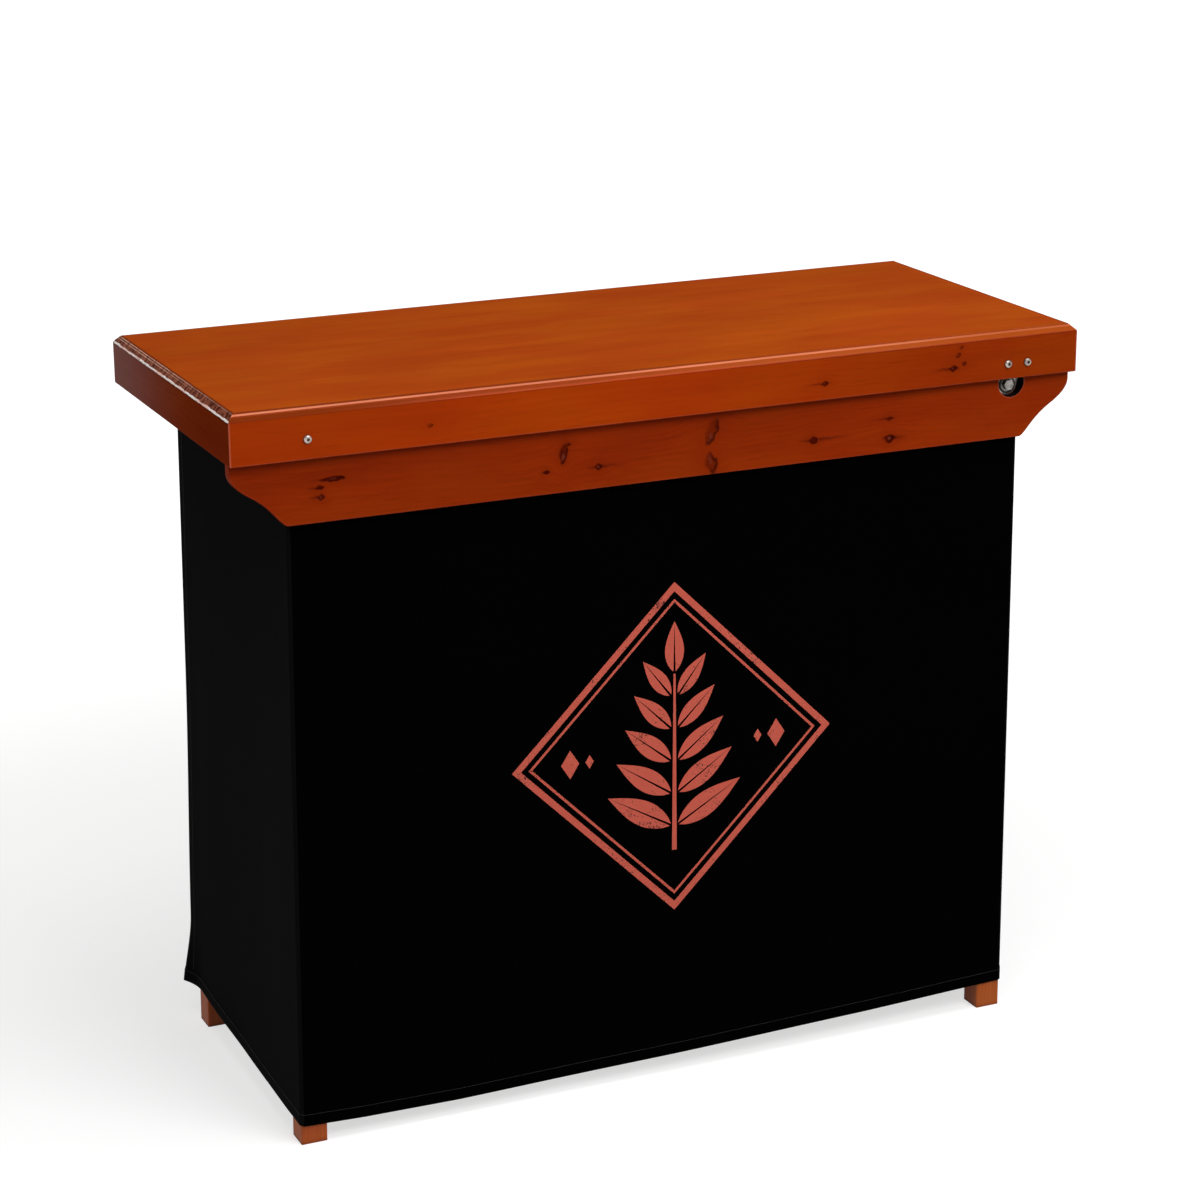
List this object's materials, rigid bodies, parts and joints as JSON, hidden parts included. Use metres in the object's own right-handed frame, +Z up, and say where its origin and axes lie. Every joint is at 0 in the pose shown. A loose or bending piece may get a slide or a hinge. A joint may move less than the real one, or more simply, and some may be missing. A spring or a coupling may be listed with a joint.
{
  "type": "portable bar",
  "caption": "Folding bar counter: chamfered wooden box top, scroll-ended apron, hinged leg frames on folding stays that nest under the top, and a black cloth skirt round the front and ends.",
  "frame": {"origin": "on the floor under the middle of the counter", "axes": "+X along the counter to the right as the guests see it, +Y from the guests to the server, +Z up"},
  "size_m": [1.2, 0.5066, 1],
  "materials": {
    "stained_wood": "reddish stained pine under satin lacquer",
    "leg_wood": "lighter stained pine, satin",
    "black_cloth": "matt woven polyester",
    "hook_tape": "hooked tape",
    "bright_steel": "bright zinc plate"
  },
  "bodies": {
    "counter": {"top_panel": "stained_wood", "front_skirt": "stained_wood", "back_skirt": "stained_wood", "left_end_skirt": "stained_wood", "right_end_skirt": "stained_wood", "front_apron": "stained_wood", "back_rail": "stained_wood", "corner_blocks": "stained_wood", "apron_screws": "bright_steel", "back_rail_screws": "bright_steel", "left_pivot_bolts": "bright_steel", "left_pivot_spacers": "bright_steel", "left_pivot_washers": "bright_steel", "left_pivot_nuts": "bright_steel", "right_drop_brackets": "bright_steel", "right_bracket_bolts": "bright_steel", "right_bracket_nuts": "bright_steel", "right_pivot_bolts": "bright_steel", "right_head_washers": "bright_steel", "right_pivot_washers": "bright_steel", "right_pivot_nuts": "bright_steel", "left_stay_brackets": "bright_steel", "left_bracket_pins": "bright_steel", "left_bracket_screws": "bright_steel", "left_cloth_batten": "stained_wood", "left_batten_screws": "bright_steel", "left_hook_tape": "hook_tape", "left_cloth": "black_cloth", "right_stay_brackets": "bright_steel", "right_bracket_pins": "bright_steel", "right_bracket_screws": "bright_steel", "right_cloth_batten": "stained_wood", "right_batten_screws": "bright_steel", "right_hook_tape": "hook_tape", "right_cloth": "black_cloth", "front_hook_tape": "hook_tape", "front_cloth": "black_cloth"},
    "left_leg_frame": {"left_front_leg": "leg_wood", "left_back_leg": "leg_wood", "left_upper_rail": "leg_wood", "left_lower_rail": "leg_wood", "left_rail_screws": "bright_steel", "left_stay_studs": "bright_steel"},
    "right_leg_frame": {"right_front_leg": "leg_wood", "right_back_leg": "leg_wood", "right_upper_rail": "leg_wood", "right_lower_rail": "leg_wood", "right_rail_screws": "bright_steel", "right_stay_studs": "bright_steel"},
    "left_upper_stays": {"left_upper_links": "bright_steel", "left_knee_pins": "bright_steel"},
    "left_lower_stays": {"left_lower_links": "bright_steel"},
    "right_upper_stays": {"right_upper_links": "bright_steel", "right_knee_pins": "bright_steel"},
    "right_lower_stays": {"right_lower_links": "bright_steel"}
  },
  "joints": [
    {"name": "left_fold", "type": "hinge", "parent": "counter", "child": "left_leg_frame", "pos_m": [-0.5, 0, 0.96], "axis": [0, -1, 0], "range_deg": [0, 90.69]},
    {"name": "left_upper_stay_turn", "type": "hinge", "parent": "counter", "child": "left_upper_stays", "pos_m": [-0.28, 0, 0.96], "axis": [0, 1, 0], "range_deg": [0, 34.08]},
    {"name": "left_lower_stay_turn", "type": "hinge", "parent": "left_leg_frame", "child": "left_lower_stays", "pos_m": [-0.5018, 0, 0.81001], "axis": [0, -1, 0], "range_deg": [0, 55.26]},
    {"name": "right_fold", "type": "hinge", "parent": "counter", "child": "right_leg_frame", "pos_m": [0.508, 0, 0.92], "axis": [0, 1, 0], "range_deg": [0, 90.22]},
    {"name": "right_upper_stay_turn", "type": "hinge", "parent": "counter", "child": "right_upper_stays", "pos_m": [0.288, 0, 0.92], "axis": [0, -1, 0], "range_deg": [0, 34.23]},
    {"name": "right_lower_stay_turn", "type": "hinge", "parent": "right_leg_frame", "child": "right_lower_stays", "pos_m": [0.50857, 0, 0.77], "axis": [0, 1, 0], "range_deg": [0, 55.57]}
  ],
  "couplings": [
    {"joint": "left_upper_stay_turn", "follows": "left_fold", "ratio": 0.37567},
    {"joint": "left_lower_stay_turn", "follows": "left_fold", "ratio": 0.60919},
    {"joint": "right_upper_stay_turn", "follows": "right_fold", "ratio": 0.37928},
    {"joint": "right_lower_stay_turn", "follows": "right_fold", "ratio": 0.61589}
  ]
}
